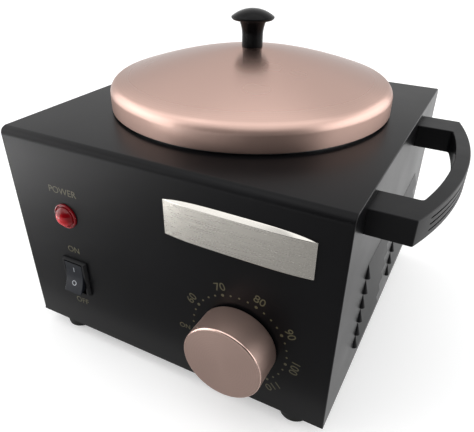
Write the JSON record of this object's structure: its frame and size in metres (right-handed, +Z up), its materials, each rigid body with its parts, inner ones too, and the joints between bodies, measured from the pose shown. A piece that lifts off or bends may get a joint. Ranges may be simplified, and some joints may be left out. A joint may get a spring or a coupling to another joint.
{
  "type": "wax warmer pot",
  "caption": "Tabletop wax warmer: black sheet-steel housing on rubber feet with a side carry handle, domed lid over a lift-out pot, thermostat dial, rocker switch and pilot lamp.",
  "frame": {"origin": "on the bench plane under the centre of the housing", "axes": "+X to the right as seen from the front, +Y to the back, +Z up"},
  "size_m": [0.2706, 0.2607, 0.2245],
  "materials": {
    "black_paint": "satin",
    "rose_gold": "satin",
    "aluminium": "satin",
    "steel": "satin",
    "black_plastic": "satin",
    "gloss_plastic": "gloss",
    "rubber": "matte",
    "red_lens": "gloss",
    "bright_plate": "polished",
    "brass": "satin",
    "copper": "satin",
    "insulation": "matte",
    "white_ceramic": "satin",
    "wire_brown": "satin",
    "wire_blue": "satin",
    "wire_green": "satin"
  },
  "bodies": {
    "housing": {"housing_shell": "black_paint", "left_side_panel": "black_paint", "right_side_panel": "black_paint", "base_plate": "black_paint", "base_screws": "steel", "foot_front_left": "rubber", "foot_front_right": "rubber", "foot_rear_left": "rubber", "foot_rear_right": "rubber", "foot_screws": "steel", "foot_nuts": "steel", "heating_well": "aluminium", "well_screws": "steel", "heater_band": "steel", "heater_terminals": "brass", "heater_clamp_screw": "steel", "heater_clamp_nut": "steel", "insulation_wrap": "insulation", "sensor_bulb": "copper", "sensor_clip": "steel", "thermal_fuse": "steel", "fuse_clip": "steel", "capillary_tube": "copper", "carry_handle": "black_plastic", "handle_screws": "steel", "lamp_lens": "red_lens", "lamp_body": "black_plastic", "lamp_nut": "black_plastic", "lamp_pins": "brass", "switch_body": "black_plastic", "switch_terminals": "brass", "thermostat_body": "steel", "thermostat_nut": "steel", "thermostat_terminals": "brass", "nameplate": "bright_plate", "nameplate_clips": "steel", "terminal_block": "white_ceramic", "terminal_block_screws": "steel", "earth_stud": "brass", "earth_lug": "brass", "earth_nut": "brass", "cord_gland": "black_plastic", "gland_nut": "black_plastic", "live_wire": "wire_brown", "lamp_feed_wire": "wire_brown", "switched_wire": "wire_brown", "heater_feed_wire": "wire_brown", "fuse_wire": "wire_brown", "neutral_wire": "wire_blue", "lamp_return_wire": "wire_blue", "earth_wire": "wire_green"},
    "pot": {"wax_pot": "aluminium"},
    "lid": {"lid_shell": "rose_gold", "lid_knob": "black_plastic", "lid_knob_screw": "steel", "lid_knob_washer": "steel"},
    "dial": {"temperature_knob": "rose_gold", "thermostat_shaft": "steel", "knob_grub_screw": "steel"},
    "rocker": {"switch_rocker": "gloss_plastic"}
  },
  "joints": [
    {"name": "pot_lift", "type": "slide", "parent": "housing", "child": "pot", "axis": [0, 0, 1], "range_m": [0, 0.15]},
    {"name": "lid_lift", "type": "slide", "parent": "pot", "child": "lid", "axis": [0, 0, 1], "range_m": [0, 0.12]},
    {"name": "dial_turn", "type": "hinge", "parent": "housing", "child": "dial", "pos_m": [0.057, -0.115, 0.06], "axis": [0, 1, 0], "range_deg": [0, 240]},
    {"name": "rocker_tilt", "type": "hinge", "parent": "housing", "child": "rocker", "pos_m": [-0.0705, -0.116, 0.061], "axis": [1, 0, 0], "range_deg": [0, 24]}
  ]
}
